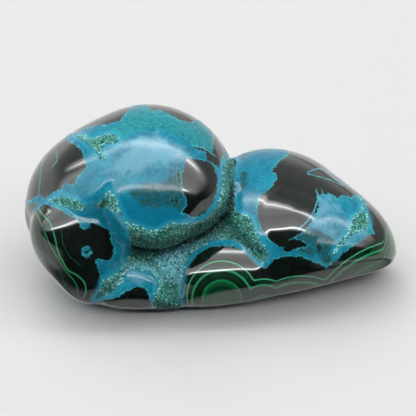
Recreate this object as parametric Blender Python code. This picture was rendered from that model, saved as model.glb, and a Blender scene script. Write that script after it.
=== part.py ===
"""Chrysocolla specimen: a hand-polished freeform stone, rounded growth lobes round a crystal-lined hollow.

The stone is one implicit surface. Every lobe is the overlap of two forms: what the polishing left
(broad, smooth ellipsoids) and what had grown (rounder balls). Where the growth is the smaller of the
two, the skin was never reached by the polishing and carries the crust of small crystals.

Frame: metres, +Z up, +X along the stone, -Y the side with the hollow. The origin is the middle of the
flat underside. Sizes below are millimetres.
"""
import math

import bmesh
import bpy
import numpy as np
from mathutils import Vector

MM = 0.001

# Driving dimensions
VIEW_TILT = 33.0            # degrees; the two ground flats face down and forward, square to this slope
UNDERSIDE_DEPTH = 0.15      # the underside is ground this far above the lowest growth
UNDERSIDE_ROUND = 1.5       # blend radius between the flanks and the underside
POLISH_ROUND = 1.2          # blend between a lobe's polished face and its grown flank
LOBE_ROUND = 3.2            # blend in the creases between lobes
GROWN_ROUND = 1.0           # blend between the balls of one growth
FLOOR_ROUND = 3.0           # blend between the two swells of the hollow's floor
STONE_DETAIL = 6            # icosphere subdivisions of the wrapped skin
STONE_KEEP = 0.27           # share of the skin's triangles that the finished stone keeps
CRUST_KEEP = 0.85           # share of the hollow's triangles that the crust keeps
CRUST_SEAT = 0.8            # how deep the crust is rooted
CRUST_GAP = 0.3             # space between the crust and its seat
SEAT_INSET = 0.4            # how far the seat's wall is drawn in towards the crust
SPUR_ROUNDS = 4             # how often loose triangles are taken off the edge of the crust
CRYSTAL_TIPS = 0.1          # how far the highest crystals stand above the hollow's skin
CRYSTAL_HEIGHT = 0.45       # how far the lowest ones are under the highest
SEAT_CLEARANCE = 0.5        # how far the seat's cutter stands clear of the skin
UNPOLISHED = 0.15           # how far the growth lies below the polish before the crust begins
CRUST_LOWEST = 2.5          # the crust ends this far above the underside
HOLLOW_CENTRE = (-3.0, -10.0, 13.0)
HOLLOW_REACH = 27.0

SPINE = ((-26.0, 0.0, 15.0), (32.0, 1.0, 10.0))     # the line that the skin is wrapped round
WRAP_START = 46.0
WRAP_STEPS = 60
SETTLE_ROUNDS = 90
SOFTEST = 6.0               # the skin is drawn in over creases this many times rounder than the real ones
SLOPE_STEP = 0.04


def ball(centre, radii, tilt=0.0, turn=0.0):
    """An ellipsoid: its centre, its radii and its rotation matrix (tilt about Y, then turn about Z)."""
    radii = (radii, radii, radii) if np.isscalar(radii) else radii
    a, b = math.radians(tilt), math.radians(turn)
    about_y = np.array([[math.cos(a), 0, math.sin(a)], [0, 1, 0], [-math.sin(a), 0, math.cos(a)]])
    about_z = np.array([[math.cos(b), -math.sin(b), 0], [math.sin(b), math.cos(b), 0], [0, 0, 1]])
    return np.array(centre, float), np.array(radii, float), about_z @ about_y


# Each lobe: the blend of its polished forms, the polished forms, and the balls that had grown.
LOBES = {
    "core": (1.0, [ball((-6.0, 5.9, 11.0), (25.0, 19.0, 15.5))], [ball((-6.0, 5.9, 11.0), 40.0)]),
    "foot": (2.0,
             [ball((-15.5, -10.7, 9.3), (22.5, 12.5, 11.9)), ball((-19.5, -18.0, 8.1), (9.5, 7.0, 6.5))],
             [ball((-19.2, -19.8, 7.2), 8.0), ball((-15.5, -11.8, -0.7), 13.2)]),
    "eye": (4.0,
            [ball((2.2, -13.1, 9.2), (15.8, 11.0, 9.6), -7.0),
             ball((12.5, -12.1, 8.1), (12.0, 10.0, 7.4), -10.0)],
            [ball((3.0, -19.3, 8.9), 11.0), ball((12.5, -15.9, 4.9), 10.0)]),
    "cheek": (4.0,
              [ball((-29.9, -11.4, 15.0), (16.4, 12.0, 11.6), 40.0), ball((-28.5, -12.7, 10.0), (8.5, 9.5, 8.8))],
              [ball((-31.2, -15.7, 17.3), 11.0), ball((-36.0, -6.1, 14.6), 19.0)]),
    "tail": (7.0,
             [ball((17.8, 2.4, 16.6), (19.2, 21.5, 12.9), 14.0), ball((34.0, -1.4, 11.6), (11.8, 12.0, 9.3), 30.0),
              ball((23.2, -6.7, 9.1), (23.0, 13.0, 12.0), 12.0, 10.0)],
             [ball((21.0, -3.8, 21.8), 17.5), ball((32.0, -1.2, 14.8), 15.0), ball((21.0, 8.5, 11.4), 24.0),
              ball((23.2, -8.8, 10.4), 16.0), ball((40.8, -7.1, 7.5), 15.0)]),
    "dome": (8.0,
             [ball((-15.8, -0.2, 21.8), (22.6, 24.0, 23.7)), ball((-29.8, 1.1, 19.8), (17.0, 18.0, 16.8))],
             [ball((-13.8, -11.8, 30.3), 12.6), ball((-9.0, -6.0, 29.5), 13.0), ball((-11.5, 5.1, 33.6), 18.5),
              ball((-20.0, -2.2, 35.3), 15.0), ball((-25.0, -8.5, 33.5), 8.2), ball((-21.8, 5.1, 30.0), 21.0),
              ball((-11.8, 15.7, 26.1), (26.0, 26.0, 22.0)), ball((-33.5, 2.4, 28.2), 15.8),
              ball((-29.2, -9.9, 33.5), 8.0), ball((-34.2, 6.4, 17.3), 16.0)]),
}
HOLLOW_FLOOR = [ball((-4.2, -2.9, 8.4), (34.0, 16.0, 14.0)), ball((5.5, 2.8, 17.2), (12.0, 13.0, 11.0))]

# The two flats that the lower front was ground to: outward direction, a point on it, the edge's blend.
SLOPE = (0.0, math.sin(math.radians(VIEW_TILT)), math.cos(math.radians(VIEW_TILT)))
FLATS = [((0.231, -0.973 * SLOPE[1], -0.973 * SLOPE[2]), (22.0, -13.5, 3.2), 4.0),
         ((0.0, -SLOPE[1], -SLOPE[2]), (-15.5, -16.1, -0.8), 3.0)]


def blend_low(a, b, reach):
    """The lower of two fields, rounded over `reach` where they cross."""
    near = np.clip(reach - np.abs(a - b), 0.0, None) / reach
    return np.minimum(a, b) - near * near * reach * 0.25


def blend_high(a, b, reach):
    return -blend_low(-a, -b, reach)


def union(points, balls, reach):
    field = None
    for centre, radii, turned in balls:
        local = (points - centre) @ turned
        k0 = np.linalg.norm(local / radii, axis=1)
        k1 = np.linalg.norm(local / (radii * radii), axis=1)
        one = k0 * (k0 - 1.0) / np.maximum(k1, 1e-9)
        field = one if field is None else blend_low(field, one, reach)
    return field


def stone_field(points, soft=1.0):
    """Signed distance in mm (below 0 inside), and how far the growth lies under the polish."""
    field = union(points, HOLLOW_FLOOR, FLOOR_ROUND)
    lowest = field.copy()
    under = np.full(len(points), 9.0)
    for blend, polished, grown in LOBES.values():
        polish = union(points, polished, blend)
        growth = union(points, grown, GROWN_ROUND)
        lobe = blend_high(polish, growth, POLISH_ROUND * soft)
        under = np.where(lobe < lowest, growth - polish, under)
        lowest = np.minimum(lowest, lobe)
        field = blend_low(field, lobe, LOBE_ROUND * soft)
    for facing, through, edge in FLATS:
        field = blend_high(field, (points - np.array(through)) @ np.array(facing), edge)
    return blend_high(field, -UNDERSIDE_DEPTH - points[:, 2], UNDERSIDE_ROUND), under


def slope(points, soft=1.0):
    """Unit outward direction of the field and the field itself."""
    here = stone_field(points, soft)[0]
    steps = [stone_field(points + np.eye(3)[axis] * SLOPE_STEP, soft)[0] - here for axis in range(3)]
    out = np.stack(steps, axis=1)
    return out / np.maximum(np.linalg.norm(out, axis=1, keepdims=True), 1e-9), here


def drift(points, level, rounds=8):
    """Move points along the field's slope until they lie on the given level of it."""
    for _ in range(rounds):
        out, here = slope(points)
        points = points + out * np.clip(level - here, -0.4, 0.4)[:, None]
    return points


def positions(mesh):
    flat = np.empty(len(mesh.vertices) * 3)
    mesh.vertices.foreach_get("co", flat)
    return flat.reshape(-1, 3)


def wrapped_skin():
    """An icosphere drawn in round the stone, settled on its surface with even triangles."""
    bm = bmesh.new()
    bmesh.ops.create_icosphere(bm, subdivisions=STONE_DETAIL, radius=1.0)
    mesh = bpy.data.meshes.new("skin")
    bm.to_mesh(mesh)
    bm.free()
    out = positions(mesh)
    out /= np.linalg.norm(out, axis=1, keepdims=True)
    left, right = (np.array(end) for end in SPINE)
    along = (out[:, :1] + 1.0) / 2.0
    root = left + (right - left) * along
    reach = np.full(len(out), WRAP_START)
    for _ in range(WRAP_STEPS):
        reach -= 0.8 * stone_field(root + out * reach[:, None], SOFTEST)[0]
    points = root + out * reach[:, None]

    ends = np.empty(len(mesh.edges) * 2, int)
    mesh.edges.foreach_get("vertices", ends)
    a, b = ends.reshape(-1, 2).T
    count = np.bincount(np.concatenate([a, b]), minlength=len(points))[:, None]
    for turn in range(SETTLE_ROUNDS):
        soft = max(1.0, SOFTEST * (1.0 - 1.3 * turn / SETTLE_ROUNDS))
        mean = np.zeros_like(points)
        np.add.at(mean, a, points[b])
        np.add.at(mean, b, points[a])
        pull = mean / count - points
        normal, here = slope(points, soft)
        pull -= normal * (pull * normal).sum(axis=1, keepdims=True)
        points = points + 0.6 * pull - normal * np.clip(here, -0.5, 0.5)[:, None]
    points = drift(points, 0.0, 4)
    mesh.vertices.foreach_set("co", points.ravel())
    mesh.update()
    return mesh


def thinned(mesh, keep):
    """The mesh with only a share of its triangles, by the Decimate modifier."""
    body = bpy.data.objects.new("thinning", mesh)
    bpy.context.collection.objects.link(body)
    body.modifiers.new("thin", "DECIMATE").ratio = keep
    bpy.context.view_layer.update()
    found = body.evaluated_get(bpy.context.evaluated_depsgraph_get())
    result = bpy.data.meshes.new_from_object(found)
    bpy.data.objects.remove(body)
    return result


def ground_flat(mesh):
    """Cut the underside off at z = 0 and close it with one flat face."""
    bm = bmesh.new()
    bm.from_mesh(mesh)
    everything = bm.verts[:] + bm.edges[:] + bm.faces[:]
    cut = bmesh.ops.bisect_plane(bm, geom=everything, plane_co=(0, 0, 0), plane_no=(0, 0, -1), clear_outer=True)
    rim = [e for e in cut["geom_cut"] if isinstance(e, bmesh.types.BMEdge)]
    for vert in {v for edge in rim for v in edge.verts}:
        vert.co.z = 0.0
    bmesh.ops.contextual_create(bm, geom=rim)
    bmesh.ops.recalc_face_normals(bm, faces=bm.faces[:])
    bm.to_mesh(mesh)
    bm.free()


def one_piece(skin, faces):
    """The part of a set of the skin's faces that hangs together with the one nearest the hollow's centre."""
    across = {}
    for face in skin.polygons:
        for edge in face.edge_keys:
            across.setdefault(edge, []).append(face.index)
    beside = {face.index: [other for edge in face.edge_keys for other in across[edge] if other != face.index]
              for face in skin.polygons}
    # single-triangle spurs would leave pinched corners
    for _ in range(SPUR_ROUNDS):
        faces = {index for index in faces if sum(other in faces for other in beside[index]) >= 2}
    middle = Vector(HOLLOW_CENTRE)
    first = min(faces, key=lambda index: (skin.polygons[index].center - middle).length)
    found, queue = {first}, [first]
    while queue:
        fresh = [other for other in beside[queue.pop()] if other in faces and other not in found]
        found.update(fresh)
        queue.extend(fresh)
    return found


def unpolished_faces(skin):
    """The skin's faces that the crystals' seat covers: those that the polishing left at the hollow."""
    middles = np.array([face.center for face in skin.polygons])
    under = stone_field(middles)[1]
    away = np.linalg.norm(middles - np.array(HOLLOW_CENTRE), axis=1)
    covered = (under > -UNPOLISHED) & (away < HOLLOW_REACH) & (middles[:, 2] > CRUST_LOWEST)
    return one_piece(skin, set(np.flatnonzero(covered)))


def without_rim(skin, faces):
    """The given faces less those that touch any other face."""
    rim = {vert for face in skin.polygons if face.index not in faces for vert in face.vertices}
    inner = {index for index in faces if not rim.intersection(skin.polygons[index].vertices)}
    return one_piece(skin, inner)


def sheet(skin, faces):
    """An open sheet of the given faces of the skin."""
    bm = bmesh.new()
    bm.from_mesh(skin)
    bmesh.ops.delete(bm, geom=[f for f in bm.faces if f.index not in faces], context="FACES")
    pinched = [v for v in bm.verts if sum(e.is_boundary for e in v.link_edges) > 2]
    bmesh.ops.delete(bm, geom=pinched, context="VERTS")
    mesh = bpy.data.meshes.new("sheet")
    bm.to_mesh(mesh)
    bm.free()
    return thinned(mesh, CRUST_KEEP)


def slab(patch, name, inner, outer, draw_in, crystals):
    """A closed slab on the patch, from one level of the stone's field to another."""
    bm = bmesh.new()
    bm.from_mesh(patch)
    for vert in [v for v in bm.verts if v.is_boundary]:
        within = [e.other_vert(vert).co for e in vert.link_edges if not e.is_boundary]
        if within:
            step = sum(within, Vector()) / len(within) - vert.co
            vert.co += step.normalized() * min(draw_in, step.length * 0.6)
    bm.verts.index_update()
    roots = len(bm.verts)
    extruded = bmesh.ops.extrude_face_region(bm, geom=bm.faces[:])
    tops = [v for v in extruded["geom"] if isinstance(v, bmesh.types.BMVert)]
    bm.verts.index_update()
    points = np.array([v.co for v in bm.verts])
    top = np.zeros(len(points), bool)
    top[[v.index for v in tops]] = True
    level = np.full(roots, outer)
    if crystals:
        level = level - np.random.default_rng(7).uniform(0.0, crystals, roots)
    points[top] = drift(points[top], level[:top.sum()])
    points[~top] = drift(points[~top], np.full((~top).sum(), inner))
    for vert, place in zip(bm.verts, points):
        vert.co = place
    bmesh.ops.recalc_face_normals(bm, faces=bm.faces[:])
    mesh = bpy.data.meshes.new(name)
    bm.to_mesh(mesh)
    bm.free()
    return mesh


def polish(name, colour, roughness):
    """A Principled material in the piece's plain colour."""
    material = bpy.data.materials.new(name)
    material.use_nodes = True
    shader = material.node_tree.nodes["Principled BSDF"]
    shader.inputs["Base Color"].default_value = (*colour, 1.0)
    shader.inputs["Roughness"].default_value = roughness
    shader.inputs["Metallic"].default_value = 0.0
    return material


def placed(name, mesh, collection, material=None):
    """An object for a mesh made in millimetres, brought to metres."""
    mesh.vertices.foreach_set("co", (positions(mesh) * MM).ravel())
    mesh.update()
    body = bpy.data.objects.new(name, mesh)
    collection.objects.link(body)
    if material:
        mesh.materials.clear()
        mesh.materials.append(material)
    return body


def main():
    for old in list(bpy.data.objects):
        bpy.data.objects.remove(old)
    specimen = bpy.data.collections.new("chrysocolla_specimen")
    cutters = bpy.data.collections.new("cutters")
    for collection in (specimen, cutters):
        bpy.context.scene.collection.children.link(collection)

    skin = wrapped_skin()
    unpolished = unpolished_faces(skin)
    seat_sheet = sheet(skin, unpolished)
    crust_sheet = sheet(skin, without_rim(skin, unpolished))
    body = thinned(skin, STONE_KEEP)
    ground_flat(body)

    stone = placed("polished_stone", body, specimen, polish("polished_stone", (0.03, 0.16, 0.20), 0.12))
    seat = placed("crust_seat", slab(seat_sheet, "crust_seat", -CRUST_SEAT - CRUST_GAP, SEAT_CLEARANCE, SEAT_INSET, 0.0),
                  cutters)
    seat.display_type = "WIRE"
    seat.hide_render = True
    cut = stone.modifiers.new("seat", "BOOLEAN")
    cut.operation = "DIFFERENCE"
    cut.solver = "EXACT"
    cut.object = seat
    crust = slab(crust_sheet, "crystal_crust", -CRUST_SEAT, CRYSTAL_TIPS, 0.0, CRYSTAL_HEIGHT)
    placed("crystal_crust", crust, specimen, polish("crystal_crust", (0.05, 0.22, 0.16), 0.6))


main()
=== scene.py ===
"""Looks of a hand-polished chrysocolla stone: blue skin, black and banded green patches, a druse of crystals.

Lengths are millimetres in the model's own frame, and each mesh is brought to metres when it is placed.
Markings on the front are drawn on a sheet that stands square to the line of sight: u runs right and
v runs up from the sheet's middle, AIM, and a point of the stone takes the marking that the eye sees on it.
"""
import math

import bmesh
import bpy
import numpy as np
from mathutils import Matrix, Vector, noise


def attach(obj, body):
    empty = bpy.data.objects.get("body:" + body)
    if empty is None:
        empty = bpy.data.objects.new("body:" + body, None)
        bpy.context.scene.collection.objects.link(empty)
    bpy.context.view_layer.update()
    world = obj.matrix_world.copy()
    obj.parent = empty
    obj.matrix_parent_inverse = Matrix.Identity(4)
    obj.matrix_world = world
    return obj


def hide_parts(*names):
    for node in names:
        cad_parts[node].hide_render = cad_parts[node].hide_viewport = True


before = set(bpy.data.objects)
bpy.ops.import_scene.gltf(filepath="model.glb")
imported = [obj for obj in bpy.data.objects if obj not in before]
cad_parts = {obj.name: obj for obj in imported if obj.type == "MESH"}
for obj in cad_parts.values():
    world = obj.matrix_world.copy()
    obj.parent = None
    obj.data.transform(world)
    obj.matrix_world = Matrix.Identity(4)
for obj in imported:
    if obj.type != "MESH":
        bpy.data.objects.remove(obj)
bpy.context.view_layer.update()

MM = 0.001

# The eye, and the sheet that the front's markings are drawn on
SLOPE = math.radians(33.0)
AIM = np.array([-1.0, -2.25, 20.5])
EYE_AWAY = 346.67
RIGHT = np.array([1.0, 0.0, 0.0])
UP = np.array([0.0, math.sin(SLOPE), math.cos(SLOPE)])
BACK = np.array([0.0, -math.cos(SLOPE), math.sin(SLOPE)])
EYE = AIM + BACK * EYE_AWAY

# How far the edges and creases of the skin are rounded
POLISH_ROUND = 0.9          # where a lobe's polish meets its growth
LOBE_ROUND = 2.2            # between two lobes
GROWN_ROUND = 1.0
FLOOR_ROUND = 3.0
UNDERSIDE_ROUND = 1.2
GROUND_EDGE = 0.3           # where grinding took more than this off the growth, no crystals are left
GROUND_SHARP = 3.0

# How the skin is drawn in towards the spine and then settled, with its creases soft at first
SKIN_DETAIL = 7
SPINE = ((-26.0, 0.0, 15.0), (32.0, 1.0, 10.0))
WRAP_START = 46.0
WRAP_STEPS = 60
WRAP_SHARE = 0.8            # of the way still to go, at each step
SETTLE_ROUNDS = 90
SETTLE_SHARE = 0.6
LONGEST_PULL = 0.5
LONGEST_DRIFT = 0.4
LAST_DRIFTS = 4
SOFTEST = 6.0
HARDENING = 1.3             # the creases are as sharp as they get before the last rounds
SLOPE_STEP = 0.04

# A blunt peak that was left in the polish of the tail
PEAK = (20.0, -13.1, 25.5)
PEAK_REACH = 8.0
PEAK_SLOPE = 0.15
PEAK_BLUNT = 0.06


# ---------------------------------------------------------------- the stone's form

def ball(centre, radii, tilt=0.0, turn=0.0):
    """An ellipsoid: centre, radii and rotation (tilt about Y, then turn about Z, in degrees)."""
    radii = (radii, radii, radii) if np.isscalar(radii) else radii
    a, b = math.radians(tilt), math.radians(turn)
    about_y = np.array([[math.cos(a), 0, math.sin(a)], [0, 1, 0], [-math.sin(a), 0, math.cos(a)]])
    about_z = np.array([[math.cos(b), -math.sin(b), 0], [math.sin(b), math.cos(b), 0], [0, 0, 1]])
    return np.array(centre, float), np.array(radii, float), about_z @ about_y


# Each lobe: the blend of its polished forms, those forms, and the balls that had grown under them
LOBES = {
    "core": (1.0, [ball((-6.0, 5.9, 11.0), (25.0, 19.0, 15.5))], [ball((-6.0, 5.9, 11.0), 40.0)]),
    "foot": (2.0,
             [ball((-15.5, -10.7, 9.3), (22.5, 12.5, 11.9)), ball((-19.5, -18.0, 8.1), (9.5, 7.0, 6.5))],
             [ball((-19.2, -19.8, 7.2), 8.0), ball((-15.5, -11.8, -0.7), 13.2)]),
    "eye": (4.0,
            [ball((2.2, -13.1, 9.2), (15.8, 11.0, 9.6), -7.0),
             ball((12.5, -12.1, 8.1), (12.0, 10.0, 7.4), -10.0)],
            [ball((3.0, -19.3, 8.9), 11.0), ball((12.5, -15.9, 4.9), 10.0)]),
    "cheek": (4.0,
              [ball((-29.9, -11.4, 15.0), (16.4, 12.0, 11.6), 40.0),
               ball((-28.5, -12.7, 10.0), (8.5, 9.5, 8.8)),
               ball((-29.8, -9.7, 23.0), 9.0), ball((-37.2, -1.0, 17.2), 9.3)],
              [ball((-31.2, -15.7, 17.3), 11.0), ball((-36.0, -6.1, 14.6), 19.0),
               ball((-29.8, -9.7, 23.0), 9.3)]),
    "tail": (7.0,
             [ball((17.8, 2.4, 16.6), (19.2, 21.5, 12.9), 14.0),
              ball((34.0, -1.4, 11.6), (11.8, 12.0, 9.3), 30.0),
              ball((23.2, -6.7, 9.1), (23.0, 13.0, 12.0), 12.0, 10.0)],
             [ball((21.0, -3.8, 21.8), 17.5), ball((32.0, -1.2, 14.8), 15.0), ball((21.0, 8.5, 11.4), 24.0),
              ball((23.2, -8.8, 10.4), 16.0), ball((40.8, -7.1, 7.5), 15.0)]),
    "dome": (8.0,
             [ball((-15.8, -0.2, 21.8), (22.6, 24.0, 23.7)), ball((-29.8, 1.1, 19.8), (17.0, 18.0, 16.8))],
             [ball((-13.8, -11.8, 30.3), 12.6), ball((-9.0, -6.0, 29.5), 13.0),
              ball((-11.5, 5.1, 33.6), 18.5), ball((-20.0, -2.2, 35.3), 15.0),
              ball((-25.0, -8.5, 33.5), 8.2), ball((-21.8, 5.1, 30.0), 21.0),
              ball((-11.8, 15.7, 26.1), (26.0, 26.0, 22.0)), ball((-33.5, 2.4, 28.2), 15.8),
              ball((-29.2, -9.9, 33.5), 8.0), ball((-34.2, 6.4, 17.3), 16.0)]),
}
HOLLOW_FLOOR = [ball((-4.2, -2.9, 8.4), (34.0, 16.0, 14.0)),
                ball((5.5, 2.8, 17.2), (12.0, 13.0, 11.0))]

# A very shallow facet was polished along the lower front: part of this ball, and its edge's blend
LOW_FACET = ball((-20.3, 115.0, 86.7), 160.0)
FACET_EDGE = 0.5
# The two flats under it: outward direction, a point on it, the edge's blend
FLATS = [(np.array((0.231, -0.973 * UP[1], -0.973 * UP[2])), np.array((22.0, -13.5, 3.2)), 4.0),
         (-UP, np.array((-15.5, -16.1, -0.8)), 3.0)]

FAR = 9.0                   # stands for any depth or distance that is too great to matter


def blend_low(a, b, reach):
    """The lower of two fields, rounded over `reach` where they cross."""
    near = np.clip(reach - np.abs(a - b), 0.0, None) / reach
    return np.minimum(a, b) - near * near * reach * 0.25


def blend_high(a, b, reach):
    """The higher of two fields, rounded over `reach` where they cross."""
    return -blend_low(-a, -b, reach)


def union(points, balls, reach):
    """The field of some joined ellipsoids, with their meetings rounded over `reach`."""
    field = None
    for centre, radii, turned in balls:
        local = (points - centre) @ turned
        scaled = np.linalg.norm(local / radii, axis=1)
        steepness = np.linalg.norm(local / (radii * radii), axis=1)
        one = scaled * (scaled - 1.0) / np.maximum(steepness, 1e-9)
        field = one if field is None else blend_low(field, one, reach)
    return field


def stone_field(points, soft=1.0):
    """Signed distance (below 0 inside), how far the skin was left unpolished, and the lobe's number."""
    field = union(points, HOLLOW_FLOOR, FLOOR_ROUND)
    lowest = field.copy()
    rough = np.full(len(points), FAR)
    owner = np.full(len(points), -1)
    for number, (blend, polished, grown) in enumerate(LOBES.values()):
        polish = union(points, polished, blend)
        growth = union(points, grown, GROWN_ROUND)
        lobe = blend_high(polish, growth, POLISH_ROUND * soft)
        rough = np.where(lobe < lowest, growth - polish, rough)
        owner = np.where(lobe < lowest, number, owner)
        lowest = np.minimum(lowest, lobe)
        field = blend_low(field, lobe, LOBE_ROUND * soft)
    unground = field
    for facing, through, edge in FLATS:
        field = blend_high(field, (points - through) @ facing, edge)
    field = blend_high(field, union(points, [LOW_FACET], GROWN_ROUND), FACET_EDGE)
    field = blend_high(field, -points[:, 2], UNDERSIDE_ROUND)
    rough = np.minimum(rough, GROUND_SHARP * (GROUND_EDGE - (field - unground)))
    return field, rough, owner


def slope(points, soft=1.0):
    """Unit outward direction of the field and the field itself."""
    here = stone_field(points, soft)[0]
    steps = [stone_field(points + np.eye(3)[axis] * SLOPE_STEP, soft)[0] - here for axis in range(3)]
    out = np.stack(steps, axis=1)
    return out / np.maximum(np.linalg.norm(out, axis=1, keepdims=True), 1e-9), here


def drift(points, rounds):
    """Move points along the field's slope until they lie on the surface."""
    for _ in range(rounds):
        out, here = slope(points)
        points = points + out * np.clip(-here, -LONGEST_DRIFT, LONGEST_DRIFT)[:, None]
    return points


def positions(mesh):
    """The places of a mesh's vertices, one to a row."""
    flat = np.empty(len(mesh.vertices) * 3)
    mesh.vertices.foreach_get("co", flat)
    return flat.reshape(-1, 3)


def wrapped_skin():
    """An icosphere drawn in round the stone and settled on its surface with even triangles."""
    bm = bmesh.new()
    bmesh.ops.create_icosphere(bm, subdivisions=SKIN_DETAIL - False, radius=1.0)
    mesh = bpy.data.meshes.new("stone_skin")
    bm.to_mesh(mesh)
    bm.free()
    out = positions(mesh)
    out /= np.linalg.norm(out, axis=1, keepdims=True)
    left, right = (np.array(end) for end in SPINE)
    root = left + (right - left) * (out[:, :1] + 1.0) / 2.0
    reach = np.full(len(out), WRAP_START)
    for _ in range(WRAP_STEPS):
        reach -= WRAP_SHARE * stone_field(root + out * reach[:, None], SOFTEST)[0]
    points = root + out * reach[:, None]

    ends = np.empty(len(mesh.edges) * 2, int)
    mesh.edges.foreach_get("vertices", ends)
    a, b = ends.reshape(-1, 2).T
    count = np.bincount(np.concatenate([a, b]), minlength=len(points))
    for turn in range(SETTLE_ROUNDS):
        soft = max(1.0, SOFTEST * (1.0 - HARDENING * turn / SETTLE_ROUNDS))
        around = [np.bincount(a, points[b, axis], len(points)) + np.bincount(b, points[a, axis], len(points))
                  for axis in range(3)]
        normal, here = slope(points, soft)
        pull = np.stack(around, axis=1) / count[:, None] - points
        pull -= normal * (pull * normal).sum(axis=1, keepdims=True)
        back = np.clip(here, -LONGEST_PULL, LONGEST_PULL)
        points = points + SETTLE_SHARE * pull - normal * back[:, None]
    points = drift(points, LAST_DRIFTS)
    away = np.linalg.norm(points - np.array(PEAK), axis=1) / PEAK_REACH
    tall = PEAK_SLOPE * PEAK_REACH * np.clip(1.0 - np.sqrt(away * away + PEAK_BLUNT ** 2), 0.0, None)
    points += slope(points)[0] * tall[:, None]
    mesh.vertices.foreach_set("co", points.ravel())
    mesh.update()
    return mesh


# ---------------------------------------------------------------- markings, as outlines in mm on the sheet

# Black patches of each lobe's front. A patch that runs off the stone's edge is drawn past it.
BLACK = {
    "dome": [
        [(-5.5, 12), (-4, 12.5), (-1.25, 11.75), (1, 10.75), (2.25, 8.25), (2.5, 5.75), (2, 3.25), (1, 0.75),
         (-0.75, -1.25), (-2.75, -2), (-5, -1.75), (-6.75, -1.25), (-5.5, 0.5), (-5.5, 2.5), (-6.25, 4.5),
         (-6.5, 7), (-6.25, 9.5)],
        [(-14.5, 28.25), (-14.5, 24.5), (-12, 24.5), (-10, 23.5), (-8, 22.5), (-5.75, 21.5), (-2.75, 22),
         (-2, 24.5), (-7, 28.25)],
        [(1, 19), (1.5, 17), (1, 14.5), (2, 12.5), (3, 12), (4, 14), (3.5, 16)],
        [(-0.5, 14.25), (-0.5, 12), (1.25, 11.25), (2.75, 10), (2.75, 12.5), (1.5, 14)],
        [(-44.5, 24.5), (-33.5, 18.5), (-32, 19.5), (-29.5, 20.4), (-27, 20.6), (-24, 21.25), (-22, 22),
         (-20.5, 23.75), (-19.25, 25.25), (-20, 29.5)],
        [(-47, 14.5), (-37, 18.25), (-35, 16.75), (-33, 15.75), (-31.5, 14), (-31, 12.5), (-30.5, 10),
         (-32, 8.5), (-33, 7), (-33.75, 5.75), (-35.5, 6.25), (-36.5, 5), (-38.5, 4), (-40.25, 2), (-42, 3),
         (-47, 2.5)],
        [(-47, 0), (-40, -0.5), (-40, -12), (-47, -12)]],
    "cheek": [
        [(-47, 0), (-44.5, -1), (-42.8, -0.5), (-40.8, 1.2), (-38.8, 0.5), (-36.2, -0.9), (-34.2, -2.1),
         (-32.8, -2.8), (-31.6, -5), (-31, -5.5), (-29.9, -5), (-29.6, -4.2), (-28.8, -3.5), (-27.8, -4.2),
         (-27.1, -3.4), (-26.5, -4.9), (-25, -5.5), (-24.4, -6.8), (-24.1, -8.8), (-23.5, -10.5),
         (-24.1, -12.2), (-25.1, -13.2), (-26.5, -12.8), (-28, -13), (-27.9, -14), (-27.2, -15.5),
         (-27, -17.2), (-26.9, -19), (-27.5, -20.8), (-28.5, -22.2), (-29.2, -23), (-29.2, -28.5),
         (-47, -28.5)]],
    "foot": [
        [(-30.8, -23.2), (-26.2, -23), (-23.8, -22.6), (-22, -21.8), (-20, -20.5), (-17.9, -19.7),
         (-16.2, -20.1), (-15.1, -21.3), (-14.5, -23), (-13, -24.4), (-12.8, -26), (-12.8, -29.2),
         (-30.8, -29.2)]],
    "eye": [],
    "tail": [
        [(20.5, 14.5), (20.5, 13.8), (19.6, 12.8), (18, 12), (17.1, 10.8), (16, 9.1), (17, 8.6), (17.1, 7),
         (16.2, 5.8), (15, 4.5), (13.4, 3.5), (12.6, 2), (12.4, -2), (13, -4.2), (14.2, -6.2), (15.5, -8),
         (16.8, -9.2), (18, -10), (19, -9.5), (20, -8.2), (22, -7), (24, -5.8), (25.8, -3.8), (27, -1.2),
         (27.8, 1), (27.2, 3), (30.5, 3.6), (32.2, 2.5), (33.2, 3.1), (35.5, 2.8), (37.2, 3.2),
         (39.2, 1.2), (35.5, 5.8), (28, 12)],
        [(18.8, -10.5), (20.5, -11.1), (22.2, -10), (23.5, -9.9), (25.1, -9.5), (23.8, -8.4), (22.2, -7.8),
         (20, -8.1)]],
    "core": [],
}
# The dark lower front, which runs over two lobes
FRONT_BODY = [(37.5, 4.5), (38.8, 2), (39.5, 0.8), (40.1, -1.8), (40.9, -4.2), (41.8, -6.4), (40, -6.9),
              (38.4, -8.2), (36.8, -9.2), (34.2, -10.9), (32.5, -12.4), (30.8, -14.1), (29.8, -14.9),
              (28.2, -14.2), (25.5, -13.1), (23, -12.4), (20.5, -12), (18.4, -12.4), (16.2, -13.2),
              (14.8, -14.5), (13.5, -14.9), (12.5, -14.5), (11.3, -13), (9.7, -11.3), (7.6, -10),
              (5.5, -9.5), (3, -9.5), (0.9, -9.8), (-1.2, -10.6), (-3.2, -12.2), (-4.8, -14.2),
              (-6, -16.3), (-6.8, -19.2), (-7, -23), (-7.1, -30.5), (53, -30.5), (53, 2), (43, 2)]
for lobe in ("eye", "tail"):
    BLACK[lobe].append(FRONT_BODY)

BLUE_RIM = 0.12             # the black never comes nearer to the crystals than this

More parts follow.
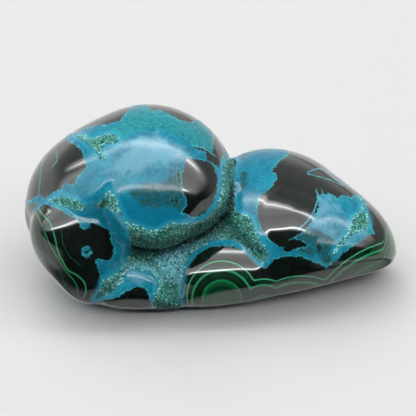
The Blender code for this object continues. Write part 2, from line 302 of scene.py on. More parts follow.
# What the polishing left bare on the front: the hollow's druse, then three small ones
DRUSE = [
    [(6.8, 12.2), (6.5, 10.5), (6.2, 7.5), (6.4, 4.5), (6.5, 1.5), (7.2, -1), (9, -1.5), (10.8, -2.8),
     (11.5, -4.5), (12, -6.2), (13, -8), (14.2, -9.8), (15, -11.2), (13.8, -13.5), (12.2, -12.8),
     (10.5, -11), (8.8, -9.2), (7, -8.2), (5, -7.8), (2.5, -7.9), (0, -8.6), (-2, -9.7), (-3.8, -11),
     (-5.2, -13.2), (-6.1, -15.8), (-6.6, -18.5), (-7, -21.8), (-7.4, -24.8), (-12.5, -25.1), (-13.5, -23),
     (-12.9, -20.5), (-12.5, -18.2), (-14, -16.5), (-16, -15.4), (-18.2, -15.1), (-19.9, -16),
     (-21.1, -17.8), (-22.2, -19.5), (-24, -21), (-26.2, -21.9), (-28.5, -22.6), (-27.2, -21),
     (-26.6, -19.2), (-26, -17.9), (-24, -17.2), (-22, -15.5), (-20.4, -13.5), (-19.4, -11), (-19.1, -8.2),
     (-20.2, -4.8), (-21.5, -2.2), (-23.2, -0.9), (-25.2, -0.1), (-27.5, 0.4), (-28.8, 0.8), (-27, 1.4),
     (-26, 2.5), (-25, 4.4), (-23.8, 3.2), (-22.6, 1.2), (-21.8, -0.8), (-20.9, -2.5), (-19.2, -3.8),
     (-17, -4.6), (-14.5, -5.5), (-12, -5.4), (-10, -4.1), (-8.5, -3.8), (-6, -4), (-3, -3.5),
     (-0.5, -2.5), (1.2, -0.6), (2.5, 1.5), (3.2, 3.5), (3.5, 6.5), (3.8, 9.5), (4.5, 11.5)],
    [(-39.8, 2), (-38.2, 2.6), (-36.5, 2.9), (-34.8, 2.5), (-33, 1.9), (-31.2, 0.9), (-30.5, -0.1),
     (-32.2, -0.6), (-34.5, 0), (-36.5, 0.6), (-38.2, 1.2)],
    [(-33.2, 18.4), (-30.8, 18), (-29, 17.1), (-27.5, 17.8), (-26, 18.2), (-23.8, 18.5), (-22.2, 17.4),
     (-23.2, 16.2), (-25.2, 16.1), (-26.5, 14.8), (-25.9, 12.8), (-25.5, 10.9), (-27, 12.4), (-28.2, 14.4),
     (-30.2, 16.1), (-32.2, 17.5)],
    [(38.2, 2.8), (39, 1), (39.5, -1.5), (40.2, -3.5), (39.6, -5.2), (37.2, -6.1), (35.5, -7.1),
     (34.2, -8.6), (32.8, -10.1), (31.8, -11.9), (31.5, -11), (33, -8.5), (34.8, -6.5), (35.8, -4.2),
     (36.5, -2.2), (38, -1), (38.4, 0.8)]]
# Small dark places in the blue
FLECKS = [
    [(-46.2, 1.5), (-44.5, 0.5), (-44.1, -0.4), (-44.8, -1), (-46.2, -1)],
    [(15.8, 9.4), (16.8, 9.2), (16.8, 8.5), (15.8, 8.8)],
    [(36.2, -2), (37.2, -2.5), (36.8, -4), (35.9, -4.8)],
    [(-3.8, 15.5), (-2.5, 15.5), (-1.2, 15), (0.2, 14.6), (1.8, 13.5), (0.8, 13.1), (-0.5, 14.2),
     (-2.8, 14.6)]]

# A small blue ring in the cheek's black: its middle, radius and half-width
CHEEK_SPOT = (-30.3, -10.9)
SPOT_RADIUS = 1.0
SPOT_HALF = 0.38

# Blue that is clouded with black
MOTTLED = {
    "dome": [
        [(-19.5, 4.5), (-15.8, 6), (-12, 6.5), (-9, 8), (-6, 9.5), (-5.5, 5.8), (-5.2, 0.8), (-6.8, -1),
         (-10, 0.2), (-13.2, 0), (-17, 1)]],
    "tail": [
        [(7.8, 8.7), (9.4, 9.2), (10.2, 7.5), (9.4, 6.3), (9, 5), (7.7, 5.1), (7.8, 7)],
        [(8.2, 12.3), (9.8, 12.8), (10.8, 14.2), (9.5, 13.7), (8, 13)],
        [(18.2, -10), (20.5, -8), (22.5, -6.2), (26, -5), (29, -6.2), (31.8, -9.2), (32, -11.8), (30, -14),
         (27.5, -12.5), (23, -11)]],
}
# Blue that is netted with green
TEAL = {
    "dome": [
        [(-27, 20), (-23.5, 21), (-19.2, 25.2), (-14.5, 26), (-10.8, 24), (-5.8, 22), (-2, 21.5),
         (1.5, 17.5), (2.2, 14.5), (-0.8, 14), (-4, 15.5), (-8, 18), (-12, 19.5), (-17, 19.2),
         (-20.5, 17.5), (-24, 17.5)]],
}
# Pale, cloudy blue: on the foot and the tail a painted highlight, on the dome partly the stone's own paler
# blue and partly a painted reflection
MILKY_AND_PAINTED_HIGHLIGHT = {
    "dome": [
        [(-26, 9), (-22.5, 12.5), (-18.5, 17), (-14.5, 18.8), (-10.8, 17.8), (-7.5, 15.5), (-5.5, 13),
         (-8, 11), (-14.5, 10), (-20, 8)]],
    "foot": [
        [(-20.5, -16), (-18.5, -14.8), (-16.5, -15), (-14.8, -16.5), (-15.8, -18.2), (-17.8, -18.8),
         (-19.8, -18)]],
    "tail": [
        [(27.5, 3.2), (31.5, 1.8), (33.4, -0.8), (30.6, -1.2), (30, -4), (33, -7.2), (30, -6.8), (27.5, -6),
         (24.5, -6.6), (22.8, -5.2), (26.2, -2.8)]],
}
# Deep blue
DEEP = {
    "dome": [
        [(-22.5, 2), (-21, 3), (-17, 1.2), (-12.5, 0), (-8.2, -1), (-5.5, -1.5), (-2, -2.5), (-0.5, -4),
         (-7, -5.2), (-14.5, -7), (-19.5, -5), (-22, -1.5)]],
}
# Crystals with a blue skin, beside the polished blue
STAINED = [
    [(-13, -14.5), (-11.5, -11), (-8.5, -9.8), (-4.5, -8.5), (-0.5, -7.2), (2, -7.8), (-2, -10.5),
     (-5, -14), (-6, -17), (-7.5, -19), (-10, -18.5), (-12, -17)],
    [(-23, -19.2), (-21.5, -16.5), (-19.5, -14.5), (-15.5, -14), (-13, -15.5), (-12.5, -18), (-13, -20.5),
     (-15, -18.5), (-17, -19.2)]]

# Malachite scallops along the lower front: discs (centre, radius) whose joined edge is the band
OUTER_SCALLOPS = [((3.5, -22.0), 8.75), ((14.0, -24.75), 7.0), ((23.5, -33.1), 16.1), ((52.0, -37.0), 29.5)]
INNER_SCALLOPS = [((3.5, -23.0), 7.75), ((14.0, -25.2), 6.2), ((23.5, -33.6), 15.3), ((52.0, -38.2), 29.3)]

TIP_BAND = 43.8             # right of this the bands turn up along the tip
TIP_STEEP = 3.0

# Thin lines: points and half-width. Lines that run side by side are in different sets.
LINES = {
    "green_lines": [
        ([(-42.5, 0), (-41.25, -1.75), (-39.5, -3.75), (-38.25, -7.5), (-37.5, -11), (-36.25, -13.5),
          (-35, -15.5), (-32.5, -17), (-31, -18.5), (-30.5, -20.5), (-31, -22.25)], 0.21),
        ([(-38, 14.5), (-37.75, 12), (-39, 10.25)], 0.12),
        ([(-28.75, -23.25), (-26.25, -23.5), (-24, -24.5), (-17, -25.25)], 0.14),
    ],
    "far_green_lines": [
        ([(-43, -1), (-41.25, -5), (-39.5, -9.25), (-37.75, -12.25), (-35.75, -15.5), (-33.25, -18.5),
          (-32.5, -21)], 0.16),
        ([(-41, 12), (-41.75, 10), (-42, 7), (-42.5, 2.5)], 0.18),
        ([(45, -4.5), (45.8, -8), (45.5, -12)], 0.12),
    ],
    "faint_green_lines": [
        ([(-44, -3), (-43.2, -8), (-41.3, -13), (-38.5, -17.5), (-36, -20)], 0.12),
        ([(-40, -3), (-41, -7), (-40, -10.5)], 0.1),
        ([(-43.6, -9.9), (-41.4, -11.1), (-38.2, -14.2), (-36.5, -17), (-35, -21)], 0.1),
        ([(-36.6, -6), (-36.2, -9), (-34.6, -12), (-32, -14.2)], 0.07),
    ],
    "blue_veins": [
        ([(37, 4.5), (35.5, 5.2), (32, 7.2), (28.5, 9.8), (24.75, 8.8), (27, 8)], 0.14),
        ([(27.25, 4), (27.5, 2.5), (26.75, 0), (25.5, -2.5), (23, -5)], 0.2),
        ([(-3.75, 15.5), (-1.25, 15), (0.5, 14), (2, 12.8)], 0.16),
    ],
    "dome_lines": [
        ([(-6, 12.2), (-7, 9.9), (-6.6, 6.2), (-6, 3.7)], 0.09),
        ([(-8.7, 10.8), (-8.7, 7.8)], 0.07),
    ],
    "near_dome_lines": [
        ([(-7.6, 12), (-8, 9.5), (-7.6, 6.2)], 0.08),
        ([(-10.1, 9.5), (-9.8, 7.8)], 0.07),
        ([(-19, 15.5), (-19.8, 13), (-19.6, 10.8)], 0.05),
    ],
    "near_blue_veins": [
        ([(27, 8), (30.5, 7), (34, 5.5)], 0.12),
        ([(28.6, 4), (29, 2), (28.5, -0.5), (27, -3)], 0.12),
    ],
}


FAR_OUT = -4.0              # the depth given to a place that is in none of the outlines
FRONT_FADE = 0.25           # the drawn markings fade out where the skin turns this far from the eye
# The side that the eye doesn't see: swells of black (height, size, seed), and more of it lower down
FAR_SIDE_SWELLS = ((6.0, 17.0, 3), (2.0, 6.0, 4))
FAR_SIDE_MIDDLE = 14.0
FAR_SIDE_LEAN = 0.12
FAR_SIDE_BLACK = 0.3


def curve(points, closed=False, steps=5):
    """A smooth curve through the points."""
    knots = np.array(points, float)
    if closed:
        padded = np.vstack([knots[-1], knots, knots[:2]])
    else:
        padded = np.vstack([2 * knots[0] - knots[1], knots, 2 * knots[-1] - knots[-2]])
    t = np.linspace(0.0, 1.0, steps, endpoint=False)[:, None]
    parts = []
    for p0, p1, p2, p3 in zip(padded, padded[1:], padded[2:], padded[3:]):
        parts.append(0.5 * (2 * p1 + (p2 - p0) * t + (2 * p0 - 5 * p1 + 4 * p2 - p3) * t ** 2
                            + (3 * p1 - p0 - 3 * p2 + p3) * t ** 3))
    line = np.vstack(parts)
    return line if closed else np.vstack([line, knots[-1:]])


def away_from(places, line, closed=False):
    """Distance to a line on the sheet, and the side it is on (positive to the right of its run)."""
    starts = line if closed else line[:-1]
    stops = np.roll(line, -1, axis=0) if closed else line[1:]
    best = np.full(len(places), 1e9)
    side = np.ones(len(places))
    for start, stop in zip(starts, stops):
        run = stop - start
        part = np.clip(((places - start) @ run) / (run @ run), 0.0, 1.0)
        gap = places - start - part[:, None] * run
        distance = np.hypot(gap[:, 0], gap[:, 1])
        cross = gap[:, 0] * run[1] - gap[:, 1] * run[0]
        nearer = distance < best
        best = np.where(nearer, distance, best)
        side = np.where(nearer, np.sign(cross), side)
    return best, side


def inside(places, outline):
    """How far inside a closed outline each place is; below 0 outside it."""
    line = curve(outline, closed=True)
    distance, _ = away_from(places, line, closed=True)
    within = np.zeros(len(places), bool)
    for start, stop in zip(line, np.roll(line, -1, axis=0)):
        spans = (start[1] > places[:, 1]) != (stop[1] > places[:, 1])
        rise = stop[1] - start[1]
        crossing = start[0] + (places[:, 1] - start[1]) * (stop[0] - start[0]) / (rise if rise else 1e-9)
        within ^= spans & (places[:, 0] < crossing)
    return np.where(within, distance, -distance)


def deepest(places, outlines):
    """How deep each place is inside any of the outlines."""
    return np.max([inside(places, outline) for outline in outlines], axis=0)


def distance_from(places, middle):
    """How far each place is from a middle."""
    return np.hypot(*(places - np.array(middle)).T)


def scallop_depth(places, discs):
    """How far inside the joined discs each place is."""
    return np.max([radius - distance_from(places, centre) for centre, radius in discs], axis=0)


def line_marks(places, lines):
    """For the nearest of the lines: signed distance, plain distance, half-width."""
    signed = np.full(len(places), FAR)
    plain = np.full(len(places), FAR)
    width = np.zeros(len(places))
    for points, half in lines:
        distance, side = away_from(places, curve(points))
        nearer = distance < plain
        signed = np.where(nearer, np.minimum(distance, FAR) * side, signed)
        plain = np.where(nearer, distance, plain)
        width = np.where(nearer, half, width)
    return np.stack([signed, plain, width], axis=1)


def on_sheet(points):
    """Where the eye sees each point, in mm on the sheet."""
    from_aim = points - AIM
    closer = EYE_AWAY / (EYE_AWAY - from_aim @ BACK)
    return np.stack([from_aim @ RIGHT, from_aim @ UP], axis=1) * closer[:, None]


def swell(points, size, seed):
    """A smooth random field over the points, about -1 to 1."""
    shift = Vector((seed * 17.3, seed * 5.1, seed * 9.7))
    return np.array([noise.noise(Vector(point) / size + shift) for point in points])


def by_lobe(places, owner, outlines):
    """How deep each place is inside its own lobe's outlines."""
    depth = np.full(len(places), FAR_OUT)
    for number, lobe in enumerate(LOBES):
        mine = np.flatnonzero(owner == number)
        for outline in outlines.get(lobe, ()):
            depth[mine] = np.maximum(depth[mine], inside(places[mine], outline))
    return depth


def far_side(points):
    """How deep each point is in the black of the side that the eye doesn't see."""
    depth = FAR_SIDE_LEAN * (FAR_SIDE_MIDDLE - points[:, 2]) + FAR_SIDE_BLACK
    for height, size, seed in FAR_SIDE_SWELLS:
        depth += height * swell(points, size, seed)
    return depth


def settle_marks(mesh):
    """Work the markings out for every vertex of the stone's skin and keep them as attributes, in mm."""
    points = positions(mesh)
    normal, _ = slope(points)
    _, rough, owner = stone_field(points)
    places = on_sheet(points)
    sight = EYE - points
    facing = (normal * sight).sum(axis=1) / np.linalg.norm(sight, axis=1)
    front = np.clip((facing + FRONT_FADE) / FRONT_FADE, 0.0, 1.0)

    rough = np.where(front > 0.5, deepest(places, DRUSE), rough)
    black = np.maximum(by_lobe(places, owner, BLACK), deepest(places, FLECKS))
    ring = SPOT_HALF - abs(distance_from(places, CHEEK_SPOT) - SPOT_RADIUS)
    black = np.minimum(black, np.minimum(-rough - BLUE_RIM, -ring))
    tip = np.clip(places[:, 0] - TIP_BAND, 0.0, None) * TIP_STEEP

    keep(mesh, "front", front)
    keep(mesh, "rough", rough)
    keep(mesh, "black", front * black + (1.0 - front) * far_side(points))
    keep(mesh, "stained", deepest(places, STAINED) * front + FAR_OUT * (1.0 - front))
    for name, outlines in (("mottled", MOTTLED), ("teal", TEAL), ("milky_and_painted_highlight", MILKY_AND_PAINTED_HIGHLIGHT), ("deep", DEEP)):
        keep(mesh, name, by_lobe(places, owner, outlines) * front + FAR_OUT * (1.0 - front))
    keep(mesh, "shell", scallop_depth(places, OUTER_SCALLOPS) + tip)
    keep(mesh, "rings", scallop_depth(places, INNER_SCALLOPS) + tip)
    for name, lines in LINES.items():
        keep(mesh, name, line_marks(places, lines))


def keep(mesh, name, values):
    """Store values as an attribute of the mesh's points."""
    if values.ndim == 1:
        mesh.attributes.new(name, "FLOAT", "POINT").data.foreach_set("value", values)
    else:
        mesh.attributes.new(name, "FLOAT_VECTOR", "POINT").data.foreach_set("vector", values.ravel())


# ---------------------------------------------------------------- shader maths

class Value:
    """A node socket that takes part in Python expressions."""

    def __init__(self, nodes, socket):
        self.nodes = nodes
        self.socket = socket

    def maths(self, operation, *others):
        """A Math node on this and the others."""
        return self.nodes.add("ShaderNodeMath", {"operation": operation}, [self, *others])

    def __add__(self, other):
        return self.maths("ADD", other)

    def __sub__(self, other):
        return self.maths("SUBTRACT", other)

    def __rsub__(self, other):
        return self.nodes.add("ShaderNodeMath", {"operation": "SUBTRACT"}, [other, self])

    def __mul__(self, other):
        return self.maths("MULTIPLY", other)

    __radd__ = __add__
    __rmul__ = __mul__

    def __truediv__(self, other):
        return self.maths("DIVIDE", other)

    def __neg__(self):
        return self * -1.0

    def __abs__(self):
        return self.maths("ABSOLUTE")

    def high(self, other):
        """The higher of this and another."""
        return self.maths("MAXIMUM", other)

    def between(self, start, stop):
        """0 at start, 1 at stop, smooth between them."""
        node = {"interpolation_type": "SMOOTHSTEP", "clamp": True}
        if start < stop:
            return self.nodes.add("ShaderNodeMapRange", node, [self, start, stop, 0.0, 1.0])
        return self.nodes.add("ShaderNodeMapRange", node, [self, stop, start, 1.0, 0.0])


class Nodes:
    """The node tree of a material or a world, and the short ways to add to it."""

    def __init__(self, owner, shader="Principled BSDF", places="Object"):
        owner.use_nodes = True
        self.owner = owner
        self.tree = owner.node_tree
        self.shader = self.tree.nodes[shader]
        self.places = self.add("ShaderNodeTexCoord", output=places)

    def add(self, kind, settings=None, inputs=(), output=0):
        """One output of a new node: its kind, its settings, and its inputs by name or by order."""
        node = self.tree.nodes.new(kind)
        for name, setting in (settings or {}).items():
            setattr(node, name, setting)
        pairs = inputs.items() if isinstance(inputs, dict) else enumerate(inputs)
        for name, given in pairs:
            self.join(node.inputs[name], given)
        return Value(self, node.outputs[output])

    def join(self, socket, given):
        """Link a socket to a value, or set it to a plain number or colour."""
        if isinstance(given, Value):
            self.tree.links.new(given.socket, socket)
        else:
            socket.default_value = given

    def mark(self, name):
        """A plain number kept on the mesh."""
        return self.add("ShaderNodeAttribute", {"attribute_name": name}, output="Fac")

    def parts(self, vector):
        """The three numbers of a vector."""
        split = self.add("ShaderNodeSeparateXYZ", inputs=[vector]).socket.node
        return [Value(self, split.outputs[axis]) for axis in "XYZ"]

    def marks(self, name):
        """The three numbers kept on the mesh under one name."""
        return self.parts(self.add("ShaderNodeAttribute", {"attribute_name": name}, output="Vector"))

    def noise(self, size, detail=3.0, rough=0.5, shift=0.0):
        """Noise of a size in mm, centred on 0 and about -1 to 1."""
        vector = self.places
        if shift:
            moved = {"Vector": vector, "Location": (shift, shift, shift)}
            vector = self.add("ShaderNodeMapping", inputs=moved)
        found = self.add("ShaderNodeTexNoise", inputs={"Vector": vector, "Scale": 1.0 / (size * MM),
                                                       "Detail": detail, "Roughness": rough})
        return (found - 0.5) * 4.0

    def ramp(self, place, stops):
        """A grey that follows the stops: pairs of a place from 0 to 1 and a brightness."""
        found = self.add("ShaderNodeValToRGB", inputs=[place])
        steps = found.socket.node.color_ramp.elements
        while len(steps) < len(stops):
            steps.new(0.5)
        for step, (position, level) in zip(steps, stops):
            step.position = position
            step.color = (level, level, level, 1.0)
        return found

    def mix(self, share, first, second):
        """The first colour where share is 0 and the second where it is 1."""
        sockets = {0: share, 6: first, 7: second}
        return self.add("ShaderNodeMix", {"data_type": "RGBA"}, sockets, output=2)

    def finish(self, **inputs):
        """Join the last inputs, named in small letters, and give back the material or world."""
        for name, given in inputs.items():
            self.join(self.shader.inputs[name.replace("_", " ").title().replace("Ior", "IOR")], given)
        return self.owner


def paint(red, green, blue):
    """A colour as it is seen on a screen (0 to 255), for a shader."""
    shares = [tone / 255 for tone in (red, green, blue)]
    linear = [((share + 0.055) / 1.055) ** 2.4 if share > 0.04 else share / 12.92 for share in shares]
    return (*linear, 1.0)


# ---------------------------------------------------------------- materials

# Thin lines in the dark: colour, and how far they wander
DARK_LINES = {
    "green_lines": (paint(46, 132, 88), 0.06),
    "far_green_lines": (paint(40, 116, 76), 0.06),
    "faint_green_lines": (paint(26, 92, 56), 0.08),
    "blue_veins": (paint(58, 150, 165), 0.22),
    "near_blue_veins": (paint(58, 150, 165), 0.22),
}
BLUE_LINES = ("dome_lines", "near_dome_lines")
BLUE_LINE_WANDER = 0.06


def blue_skin(n, grain, fine, cloud):
    """Chrysocolla: deep or pale, netted with teal or mottled with black, with a painted highlight laid on as
    pale blue.
    """
    broad = n.noise(7.0, 3.0, 0.5)
    blue = n.mix((broad * 0.35 + cloud * 0.35 + 0.45).between(0.0, 1.0),
                 paint(6, 104, 130), paint(24, 134, 158))
    blue = n.mix((grain * 0.6 + fine * 0.5).between(0.1, 0.8) * 0.6, blue, paint(62, 166, 180))
    blue = n.mix((grain + fine * 0.7).between(-0.2, -1.0) * 0.8, blue, paint(8, 80, 104))

    teal = (n.mark("teal") + fine * 0.8).between(-0.4, 1.2)
    net = abs(n.noise(1.3, 5.0, 0.7, shift=0.9)).between(0.3, 0.02)
    blue = n.mix(teal * 0.6, blue, paint(26, 108, 116))
    blue = n.mix(teal * net * 0.8, blue, paint(44, 148, 148))
    blue = n.mix(teal * (grain + cloud * 0.6).between(0.3, 0.9) * 0.6, blue, paint(30, 92, 84))

    deep = (n.mark("deep") + cloud * 0.8).between(-0.8, 0.7)
    blue = n.mix(deep * 0.75, blue, paint(6, 104, 134))
    # painted highlight: pale blue laid where the polish reflects the light, on the dome partly the stone's
    # own paler blue
    milky_and_painted_highlight = (n.mark("milky_and_painted_highlight") + cloud * 1.2).between(-1.2, 2.2)
    blue = n.mix(milky_and_painted_highlight * 0.5, blue, paint(122, 172, 192))

    mottled = (n.mark("mottled") + cloud).between(-0.5, 0.8)
    spots = cloud * 0.7 + fine * 0.7 + grain * 0.3
    blue = n.mix(mottled * spots.between(-0.9, 0.3), blue, paint(20, 48, 52))
    return n.mix(mottled * abs(spots - 0.2).between(0.22, 0.04) * 0.4, blue, paint(60, 150, 150))


def dark_skin(n, fine, cloud):
    """Black copper oxide, and along the lower front malachite in scalloped bands round a disc."""
    shell, wave = n.mark("shell"), n.mark("rings") + fine * 0.06
    dark = n.mix(cloud.between(-0.2, 1.0), paint(14, 20, 19), paint(17, 34, 29))
    green_depth = n.mix(n.noise(3.5, 3.0, shift=0.7).between(-0.3, 0.9), paint(10, 34, 24), paint(18, 62, 40))
    dark = n.mix(shell.between(-0.6, 0.6) * 0.8, dark, green_depth)

    outer_line = abs(shell + fine * 0.05).between(0.24, 0.1)
    dark = n.mix(outer_line, dark, paint(58, 154, 108))
    second_band = wave.between(1.1, 1.3) * wave.between(1.8, 1.5)
    dark = n.mix(second_band * 0.5, dark, paint(12, 60, 36))
    inner_line = wave.between(-0.1, 0.08) * wave.between(0.75, 0.3)
    dark = n.mix(inner_line, dark, paint(44, 138, 92))
    disc = wave.between(2.5, 2.75)
    dark = n.mix(disc, dark, paint(10, 72, 40))
    dark = n.mix(disc * wave.between(3.4, 2.9) * 0.8, dark, paint(24, 122, 68))
    disc_ring = wave.between(4.0, 4.3) * wave.between(5.2, 4.7)
    return n.mix(disc_ring * 0.7, dark, paint(6, 36, 24))


def stroke(n, name, wander, outer, end):
    """The share of a set of thin lines: `outer` is its soft edge in half-widths, `end` its soft end."""
    signed, plain, width = n.marks(name)
    return (abs(signed + wander) / width).between(*outer) * plain.between(*end) * n.mark("front")


def stone_finish():
    """Polished chrysocolla, black copper oxide, banded malachite and the bare druse between."""
    n = Nodes(bpy.data.materials.new("polished_stone"))
    grain = n.noise(0.25, 3.0, 0.6)
    fine = n.noise(0.9, 4.0, 0.6)
    cloud = n.noise(2.2, 4.0, 0.6, shift=0.3)
    blue = blue_skin(n, grain, fine, cloud)
    for name in BLUE_LINES:
        line = stroke(n, name, fine * BLUE_LINE_WANDER, (1.5, 0.6), (1.0, 0.7))
        blue = n.mix(line * 0.6, blue, paint(112, 112, 108))
    dark = dark_skin(n, fine, cloud)
    for name, (colour, wander) in DARK_LINES.items():
        dark = n.mix(stroke(n, name, fine * wander, (1.3, 0.5), (1.2, 0.8)), dark, colour)

    # a pale rim runs along the ragged edge between blue and black, and a bluer one round the crystals
    edge = n.mark("black") + cloud * 0.4 + fine * 0.42 + grain * 0.2
    is_dark = edge.between(-0.06, 0.06)
    skin = n.mix(is_dark, blue, dark)
    rim = abs(edge + 0.1).between(0.2, 0.08)
    skin = n.mix(rim * cloud.between(-0.7, 0.3) * 0.75, skin, paint(64, 168, 176))
    ragged = n.mark("rough") + fine * 0.3
    bare = ragged.between(-0.12, 0.12)
    border = ragged.between(-1.6, -0.2) * (1.0 - bare)
    skin = n.mix(border * 0.55, skin, paint(44, 158, 184))
    druse = n.mix(grain.between(-0.6, 0.8), paint(14, 54, 50), paint(46, 122, 104))
    colour = n.mix(bare, skin, druse)

    # the black and the malachite take a glassier polish than the blue
    glassy = is_dark * (1.0 - bare)
    gloss = 0.15 - glassy * 0.07 + bare * 0.4
    waves = n.noise(9.0, 1.0, shift=0.4) * 0.07 + (1.0 - glassy) * (fine * 0.004 + grain * 0.0015)
    height = waves + bare * (grain * 0.1 + fine * 0.08)
    relief = n.add("ShaderNodeBump", inputs={"Strength": 1.0, "Distance": MM, "Height": height},
                   output="Normal")
    return n.finish(base_color=colour, roughness=gloss, normal=relief, ior=1.55,
                    coat_weight=glassy, coat_roughness=0.05, coat_ior=1.6)


def crystal_finish():
    """Small glassy crystals, blue-green, or bluer where stained, each with its own tone, and darkened with
    painted shade in the clefts and where they lean down.
    """
    n = Nodes(bpy.data.materials.new("crystal_crust"))
    tone, stain, depth = n.marks("tone")
    body = n.mix(tone, paint(30, 104, 94), paint(112, 198, 182))
    body = n.mix(stain, body, n.mix(tone, paint(80, 176, 190), paint(176, 236, 238)))
    # painted shade: the third mark darkens the crystals in the clefts between lobes and where they lean
    # downward
    body = n.mix(depth * 0.92, body, paint(4, 18, 18))
    return n.finish(base_color=body, roughness=0.2)


def place(name, mesh, finish, node, smooth=True):
    """A finished piece at the origin, in metres, riding on the stone's body in place of a CAD node."""
    mesh.vertices.foreach_set("co", (positions(mesh) * MM).ravel())
    mesh.polygons.foreach_set("use_smooth", [smooth] * len(mesh.polygons))
    mesh.materials.append(finish)
    mesh.update()
    piece = bpy.data.objects.new(name, mesh)
    bpy.context.scene.collection.objects.link(piece)
    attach(piece, "root")
    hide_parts(node)
    return piece


# ---------------------------------------------------------------- crystals

CRYSTALS = 15000
CRYSTAL_SIDES = 5
CRYSTAL_FOOT, CRYSTAL_TIP = 0.55, 0.3       # radii, for a crystal 1 across and 1 tall
CRYSTAL_ACROSS = (0.29, 0.68)
CRYSTAL_TALL = (0.7, 1.3)                   # times its width
CRYSTAL_LEAN = 0.35

STAIN_AT_EDGE = 0.6         # how blue the crystals are where a stain ends
STAIN_FADE = 1.5
STAIN_SPREAD = 0.3
BORDER_STAIN = 0.6          # how blue they are beside the polished skin, and how soon that fades
BORDER_FADE = 0.8

# Shade in the cleft between two lobes, and in the wider and darker one under the dome
CLEFT = 1.6
CLEFT_DARK = 0.3
DOME_CLEFT = 3.4
DOME_CLEFT_DARK = 1.15
DOME_CLEFT_FROM = -27.0     # the dome's cleft fades out left of this
DOME_CLEFT_FADE = 4.0
# Crystals that lean lower than this are shaded, more and more over the next stretch
OVERHANG_FROM = 0.2
OVERHANG_OVER = 0.8
OVERHANG_DARK = 0.7


def one_crystal():
    """A blunt five-sided crystal, 1 across and 1 tall, that is centred on its own middle and open below."""
    bm = bmesh.new()
    bmesh.ops.create_cone(bm, cap_ends=True, segments=CRYSTAL_SIDES, radius1=CRYSTAL_FOOT,
                          radius2=CRYSTAL_TIP, depth=1.0)
    foot = min(bm.faces, key=lambda face: face.calc_center_median().z)
    bmesh.ops.delete(bm, geom=[foot], context="FACES_ONLY")
    mesh = bpy.data.meshes.new("crystal")
    bm.to_mesh(mesh)
    bm.free()
    return mesh


def values_of(mesh, name):
    """The plain numbers kept on a mesh's points under a name."""
    values = np.empty(len(mesh.vertices))
    mesh.attributes[name].data.foreach_get("value", values)
    return values


def unit(vectors):
    """The vectors at a length of 1."""
    return vectors / np.linalg.norm(vectors, axis=1, keepdims=True)


def cleft_shade(points):
    """How much painted shade each point takes in the cleft round a lobe, 0 to 1: widest and darkest under the
    dome.
    """
    lobes = [union(points, HOLLOW_FLOOR, FLOOR_ROUND)]
    for blend, polished, grown in LOBES.values():
        polish = union(points, polished, blend)
        growth = union(points, grown, GROWN_ROUND)
        lobes.append(blend_high(polish, growth, POLISH_ROUND))
    dome = lobes.pop()
    ordered = np.sort(np.stack(lobes), axis=0)
    under_dome = np.clip(DOME_CLEFT_DARK - np.abs(dome - ordered[0]) / DOME_CLEFT, 0.0, 1.0)
    under_dome *= np.clip((points[:, 0] - DOME_CLEFT_FROM) / DOME_CLEFT_FADE, 0.0, 1.0)
    between_others = np.clip(1.0 - (ordered[1] - ordered[0]) / CLEFT, 0.0, 1.0) * CLEFT_DARK
    return np.maximum(under_dome, between_others)


def crystal_feet(skin, rng, count):
    """Random places on the unpolished skin, and the three vertices of the triangle that each is on."""
    skin.calc_loop_triangles()
    corners = np.empty(len(skin.loop_triangles) * 3, int)
    skin.loop_triangles.foreach_get("vertices", corners)
    corners = corners.reshape(-1, 3)
    points = positions(skin)
    a, b, c = (points[corners[:, k]] for k in range(3))
    area = np.linalg.norm(np.cross(b - a, c - a), axis=1) / 2.0
    bare = values_of(skin, "rough")[corners].mean(axis=1) > 0.0
    chosen = rng.choice(len(corners), count, p=np.where(bare, area, 0.0) / (area * bare).sum())
    s, t = rng.random((2, count))
    over = s + t > 1.0
    s = np.where(over, 1.0 - s, s)[:, None]
    t = np.where(over, 1.0 - t, t)[:, None]
    return a[chosen] + (b - a)[chosen] * s + (c - a)[chosen] * t, corners[chosen]


def crystals_on(skin):
    """A joined mesh of crystals standing on the unpolished skin."""
    rng = np.random.default_rng(11)
    count = CRYSTALS // 1
    foot, corners = crystal_feet(skin, rng, count)
    out, _ = slope(foot)
    lean = unit(out + rng.normal(0.0, CRYSTAL_LEAN, (count, 3)))
    across = unit(np.cross(lean, rng.normal(size=(count, 3))))
    third = np.cross(lean, across)
    wide = rng.uniform(*CRYSTAL_ACROSS, count)
    tall = wide * rng.uniform(*CRYSTAL_TALL, count)
    crystal = one_crystal()
    shape = positions(crystal)
    spots = foot[:, None]
    for axis, (way, size) in enumerate(((across, wide), (third, wide), (lean, tall))):
        spots = spots + way[:, None] * (shape[:, axis] * size[:, None])[..., None]
    faces = [list(face.vertices) for face in crystal.polygons]
    step = len(shape)
    joined = [[vertex + i * step for vertex in face] for i in range(count) for face in faces]
    mesh = bpy.data.meshes.new("druse_crystals")
    mesh.from_pydata(spots.reshape(-1, 3).tolist(), [], joined)

    tone = rng.random(count) ** 2.0
    stain, rough = (values_of(skin, name)[corners].mean(axis=1) for name in ("stained", "rough"))
    stain = np.clip(STAIN_AT_EDGE + stain / STAIN_FADE + rng.normal(0.0, STAIN_SPREAD, count), 0.0, 1.0)
    stain = np.maximum(stain, np.clip(1.0 - rough / BORDER_FADE, 0.0, 1.0) * BORDER_STAIN)
    # painted shade: crystals that lean downward or sit in a cleft are darkened in their colour
    painted_overhang_shade = np.clip((OVERHANG_FROM - out[:, 2]) / OVERHANG_OVER, 0.0, OVERHANG_DARK)
    shade = np.maximum(cleft_shade(foot), painted_overhang_shade)
    keep(mesh, "tone", np.repeat(np.stack([tone, stain, shade], axis=1), step, axis=0))
    return mesh


# ---------------------------------------------------------------- studio

LENS = 120.0
SENSOR = 36.0
TABLE_SIZE = 3.0            # metres from its middle to its edge
TABLE_GREY = 0.49
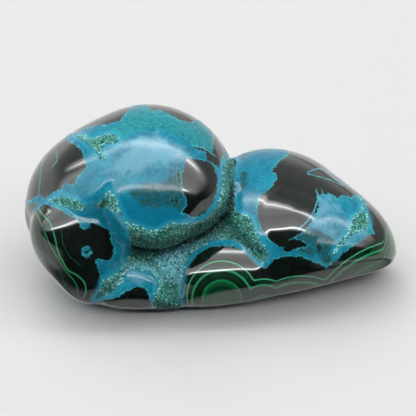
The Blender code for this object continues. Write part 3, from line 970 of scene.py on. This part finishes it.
# A soft lamp high behind the stone's left: metres, and watts
BACK_LAMP_AT = (-0.4, 0.9, 1.3)
BACK_LAMP_SIZE = 0.9
BACK_LAMP_POWER = 9.0

EXPOSURE = 0.69
# The light box from its front edge (0) over the top (0.5) to the foot of its back wall (1): place, brightness
CEILING = [(0.0, 0.02), (0.2, 0.03), (0.245, 0.12), (0.262, 1.6), (0.285, 2.7), (0.36, 2.0), (0.43, 1.8),
           (0.5, 2.3), (0.58, 2.6), (0.63, 0.7), (0.7, 0.35), (0.85, 0.4), (0.93, 0.7), (1.0, 0.9)]
CEILING_SIDE = (1.8, 4.0)   # how far to the side, for each unit up, the ceiling gives way to the walls
WALL_DARKEST = 0.4          # the right wall, against 1 for the left one
# Its strip lamps on the same scale: near edge, far edge, softness, brightness, and bend towards the left
LAMPS = [(0.53, 0.6, 0.02, 3.5, 0.07), (0.555, 0.568, 0.003, 9.0, 0.07), (0.266, 0.284, 0.004, 15.0, 0.0)]
LAMP_ENDS = (2.2, 1.3)      # how far to the side, for each unit up, the strips end
HORIZON = 0.04              # how high over the horizon the table gives way to the walls
# What polished faces see of the table: its brightness under the stone, and behind and beside it
TABLE_UNDER = 0.34
TABLE_ROUND = 0.9


def camera():
    """A long lens at the eye, looking at the sheet's middle."""
    data = bpy.data.cameras.new("camera")
    data.lens = LENS
    data.sensor_width = SENSOR
    data.clip_start = 0.01
    eye = bpy.data.objects.new("camera", data)
    eye.location = EYE * MM
    eye.rotation_euler = (math.pi / 2 - SLOPE, 0.0, 0.0)
    scene = bpy.context.scene
    scene.collection.objects.link(eye)
    scene.camera = eye
    scene.view_settings.view_transform = "Standard"


def table():
    """A pale matt table. The polish doesn't mirror it: the light box's lower half stands for it there."""
    bm = bmesh.new()
    bmesh.ops.create_grid(bm, x_segments=8, y_segments=8, size=TABLE_SIZE)
    mesh = bpy.data.meshes.new("table")
    bm.to_mesh(mesh)
    bm.free()
    top = Nodes(bpy.data.materials.new("table"))
    mesh.materials.append(top.finish(base_color=(TABLE_GREY, TABLE_GREY, TABLE_GREY, 1.0), roughness=0.6))
    piece = bpy.data.objects.new("table", mesh)
    piece.visible_glossy = False
    bpy.context.scene.collection.objects.link(piece)


def back_lamp():
    """The soft lamp that throws the shadow forward. The polish doesn't mirror it."""
    data = bpy.data.lights.new("back_left", "AREA")
    data.size = BACK_LAMP_SIZE
    data.energy = BACK_LAMP_POWER
    lamp = bpy.data.objects.new("back_left", data)
    lamp.location = BACK_LAMP_AT
    lamp.rotation_euler = lamp.location.to_track_quat("Z", "Y").to_euler()
    lamp.visible_glossy = False
    bpy.context.scene.collection.objects.link(lamp)


def light_box():
    """A box that is open and dark in front, with a glowing ceiling, two strip lamps and pale walls."""
    world = bpy.data.worlds.new("light_box")
    bpy.context.scene.world = world
    sky = Nodes(world, "Background", "Generated")
    x, y, z = sky.parts(sky.places)
    overhead = y.maths("ARCTAN2", z) / math.pi + 0.5
    height = z.high(0.01)
    aside = abs(x) / height
    to_left = (-x / height).high(0.0)

    ceiling = sky.parts(sky.ramp(overhead, CEILING))[0]
    walls = y.between(-0.25, 0.2) * (x.between(0.2, -0.2) * (1.0 - WALL_DARKEST) + WALL_DARKEST)
    to_walls = aside.between(*CEILING_SIDE)
    glow = ceiling * (1.0 - to_walls) + walls * to_walls
    for near, far, edge, brightness, bend in LAMPS:
        place = overhead - to_left * bend
        across = place.between(near - edge, near + edge) * place.between(far + edge, far - edge)
        glow = glow + across * aside.between(*LAMP_ENDS) * brightness

    behind_or_beside = y.between(-0.1, 0.2).high(abs(x).between(0.5, 0.8))
    round_it = behind_or_beside * z.between(-0.85, -0.65)
    under = z.between(-0.78, -0.9)
    below = (under * TABLE_UNDER).high(round_it * TABLE_ROUND)
    above = z.between(0.0, HORIZON)
    glow = glow * above + below * (1.0 - above)
    sky.finish(color=(1.0, 1.0, 1.0, 1.0), strength=glow * EXPOSURE)


skin = wrapped_skin()
settle_marks(skin)
druse = crystals_on(skin)
place("polished_stone_skin", skin, stone_finish(), "polished_stone")
place("druse", druse, crystal_finish(), "crystal_crust", smooth=False)
camera()
table()
back_lamp()
light_box()
